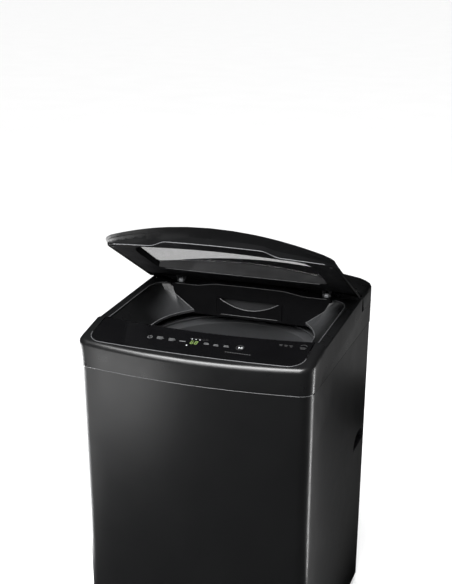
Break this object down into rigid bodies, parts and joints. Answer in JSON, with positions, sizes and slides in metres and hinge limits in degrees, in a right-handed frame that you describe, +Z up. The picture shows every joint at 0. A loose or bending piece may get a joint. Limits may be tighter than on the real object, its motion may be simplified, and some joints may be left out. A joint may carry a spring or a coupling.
{
  "type": "top load washing machine",
  "caption": "Tall black top-loading washing machine with a sloping touch console, a crowned hinged lid with a tinted window, a funnel-shaped mouth, a rear drawer and a spring-hung tub and drum.",
  "frame": {"origin": "on the floor under the middle of the machine's footprint", "axes": "+Z up, +Y from the console towards the rear deck, +X to the right seen from the front"},
  "size_m": [0.632, 0.67, 1.2286],
  "materials": {
    "cabinet_steel": "black coated steel, satin with a metallic sheen",
    "cover_gloss": "black plastic, semi gloss",
    "console_glass": "piano black, high gloss",
    "bright_trim": "satin chrome",
    "lid_glass": "smoke-tinted tempered glass",
    "dark_plastic": "black moulded plastic, satin",
    "grey_plastic": "mid grey moulded plastic",
    "white_plastic": "off-white moulded plastic",
    "stainless": "stainless steel",
    "zinc_steel": "zinc-plated steel",
    "rubber": "black rubber",
    "cast_aluminium": "as cast",
    "board": "green circuit board"
  },
  "bodies": {
    "cabinet": {"cabinet_shell": "cabinet_steel", "rear_panel": "zinc_steel", "base_frame": "dark_plastic", "top_cover": "cover_gloss", "rear_deck": "cover_gloss", "console_panel": "console_glass", "console_trim": "bright_trim", "display_window": "console_glass", "control_board": "board", "dispenser_housing": "dark_plastic", "hinge_bracket_left": "zinc_steel", "hinge_bracket_right": "zinc_steel", "lid_switch": "white_plastic", "handle_left": "dark_plastic", "handle_right": "dark_plastic", "inlet_valve_hot": "white_plastic", "inlet_valve_cold": "white_plastic", "drain_outlet": "grey_plastic", "drain_pump": "grey_plastic", "cord_gland": "rubber", "suspension_rod_front_left": "zinc_steel", "suspension_rod_front_right": "zinc_steel", "suspension_rod_rear_left": "zinc_steel", "suspension_rod_rear_right": "zinc_steel"},
    "lid": {"lid_frame": "cover_gloss", "lid_glass": "lid_glass", "lid_inner_frame": "dark_plastic", "lid_hinge_left": "zinc_steel", "lid_hinge_right": "zinc_steel", "lid_bumper_left": "rubber", "lid_bumper_right": "rubber"},
    "drawer": {"detergent_drawer": "dark_plastic", "softener_cap": "grey_plastic"},
    "tub": {"outer_tub": "white_plastic", "tub_cover": "grey_plastic", "bearing_housing": "cast_aluminium", "upper_bearing": "stainless", "lower_bearing": "stainless", "tub_seal": "rubber", "stator": "zinc_steel", "damper_cup_front_left": "grey_plastic", "damper_cup_front_right": "grey_plastic", "damper_cup_rear_left": "grey_plastic", "damper_cup_rear_right": "grey_plastic"},
    "drum": {"wash_drum": "stainless", "balance_ring": "grey_plastic", "drum_hub": "cast_aluminium", "spin_shaft": "stainless"},
    "agitator": {"pulsator": "grey_plastic", "pulsator_cap": "bright_trim", "wash_shaft": "stainless", "rotor": "zinc_steel", "rotor_nut": "zinc_steel"},
    "filter_left": {"lint_filter_left": "grey_plastic"},
    "filter_right": {"lint_filter_right": "grey_plastic"},
    "levelling_foot_front_left": {"foot_front_left": "rubber"},
    "levelling_foot_front_right": {"foot_front_right": "rubber"},
    "levelling_foot_rear_left": {"foot_rear_left": "rubber"},
    "levelling_foot_rear_right": {"foot_rear_right": "rubber"}
  },
  "joints": [
    {"name": "lid_hinge", "type": "hinge", "parent": "cabinet", "child": "lid", "pos_m": [0, 0.1714, 0.979], "axis": [-1, 0, 0], "range_deg": [-33, 60]},
    {"name": "drawer_slide", "type": "slide", "parent": "cabinet", "child": "drawer", "axis": [0, -1, 0], "range_m": [0, 0.085]},
    {"name": "tub_bounce", "type": "slide", "parent": "cabinet", "child": "tub", "axis": [0, 0, 1], "range_m": [-0.02, 0.008], "stiffness_N_per_m": 8000, "springref_m": 0.0584},
    {"name": "drum_spin", "type": "hinge", "parent": "tub", "child": "drum", "pos_m": [0, -0.014, 0.4], "axis": [0, 0, 1], "continuous": true},
    {"name": "pulsator_spin", "type": "hinge", "parent": "tub", "child": "agitator", "pos_m": [0, -0.014, 0.3], "axis": [0, 0, 1], "continuous": true},
    {"name": "filter_left_pull", "type": "slide", "parent": "drum", "child": "filter_left", "axis": [1, 0, 0], "range_m": [0, 0.04]},
    {"name": "filter_right_pull", "type": "slide", "parent": "drum", "child": "filter_right", "axis": [-1, 0, 0], "range_m": [0, 0.04]},
    {"name": "foot_front_left_screw", "type": "slide", "parent": "cabinet", "child": "levelling_foot_front_left", "axis": [0, 0, -1], "range_m": [-0.006, 0.012]},
    {"name": "foot_front_right_screw", "type": "slide", "parent": "cabinet", "child": "levelling_foot_front_right", "axis": [0, 0, -1], "range_m": [-0.006, 0.012]},
    {"name": "foot_rear_left_screw", "type": "slide", "parent": "cabinet", "child": "levelling_foot_rear_left", "axis": [0, 0, -1], "range_m": [-0.006, 0.012]},
    {"name": "foot_rear_right_screw", "type": "slide", "parent": "cabinet", "child": "levelling_foot_rear_right", "axis": [0, 0, -1], "range_m": [-0.006, 0.012]}
  ]
}
